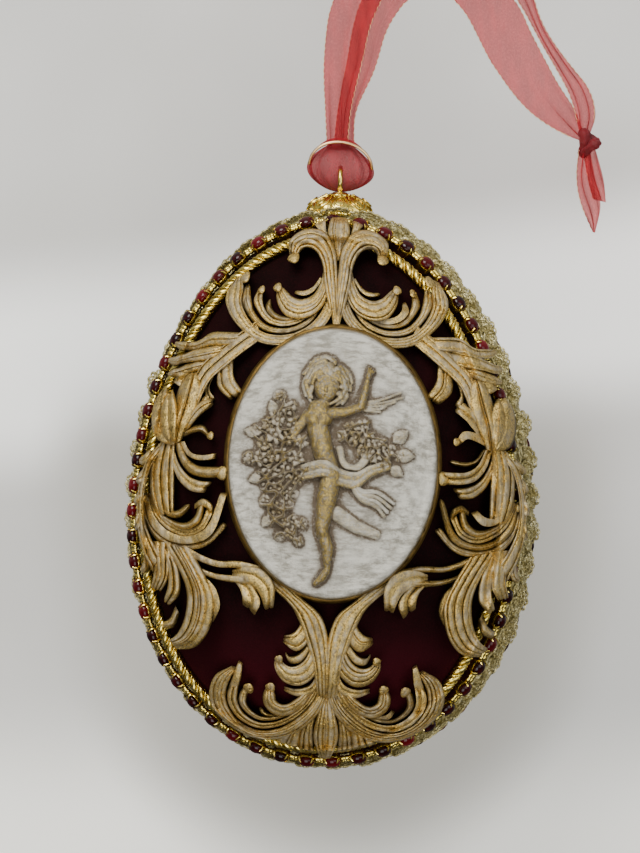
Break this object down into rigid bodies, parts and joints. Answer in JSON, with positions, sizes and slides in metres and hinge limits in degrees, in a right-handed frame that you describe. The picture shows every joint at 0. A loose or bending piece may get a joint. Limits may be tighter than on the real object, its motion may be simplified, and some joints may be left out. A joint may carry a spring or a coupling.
{
  "type": "decorated egg ornament",
  "caption": "Hanging decorated egg with velvet ground, cast scrolls, oval cameos, rhinestone chain edging, lace band and organza ribbon loop.",
  "frame": {"origin": "centre of volume of the egg, on its long axis", "axes": "+Z along the egg's long axis towards the narrow end and the ribbon, front cameo faces -Y, +X to the right of the front face"},
  "size_m": [0.088, 0.0876, 0.1595],
  "materials": {
    "foam": "matte",
    "velvet": "matte",
    "gold_lace": "satin",
    "gold_braid": "polished",
    "gold_metal": "polished",
    "garnet_stone": "polished",
    "cameo_plaster": "matte",
    "painted_cast": "satin",
    "organza": "satin"
  },
  "bodies": {
    "egg": {"foam_core": "foam", "lace_band": "gold_lace", "front_velvet": "velvet", "back_velvet": "velvet", "front_edge_cord": "gold_braid", "back_edge_cord": "gold_braid", "front_stone_cups": "gold_metal", "back_stone_cups": "gold_metal", "front_stones": "garnet_stone", "back_stones": "garnet_stone", "front_chain_links": "gold_metal", "back_chain_links": "gold_metal", "front_cameo": "cameo_plaster", "back_cameo": "cameo_plaster", "front_cameo_rim": "gold_metal", "back_cameo_rim": "gold_metal", "front_top_scroll": "painted_cast", "back_top_scroll": "painted_cast", "front_bottom_scroll": "painted_cast", "back_bottom_scroll": "painted_cast", "front_left_scroll": "painted_cast", "back_left_scroll": "painted_cast", "front_right_scroll": "painted_cast", "back_right_scroll": "painted_cast", "bead_cap": "gold_metal", "screw_eye": "gold_metal"},
    "hitch": {"ribbon_hitch": "organza"},
    "loop": {"ribbon_loop": "organza", "ribbon_knot": "organza"}
  },
  "joints": [
    {"name": "hitch_swing", "type": "hinge", "parent": "egg", "child": "hitch", "pos_m": [0, 0, 0.06025], "axis": [1, 0, 0], "range_deg": [-75, 75], "stiffness_Nm_per_rad": 0.002},
    {"name": "loop_sway", "type": "hinge", "parent": "hitch", "child": "loop", "pos_m": [0, 0, 0.06855], "axis": [0, 1, 0], "range_deg": [-85, 28], "stiffness_Nm_per_rad": 0.002}
  ]
}
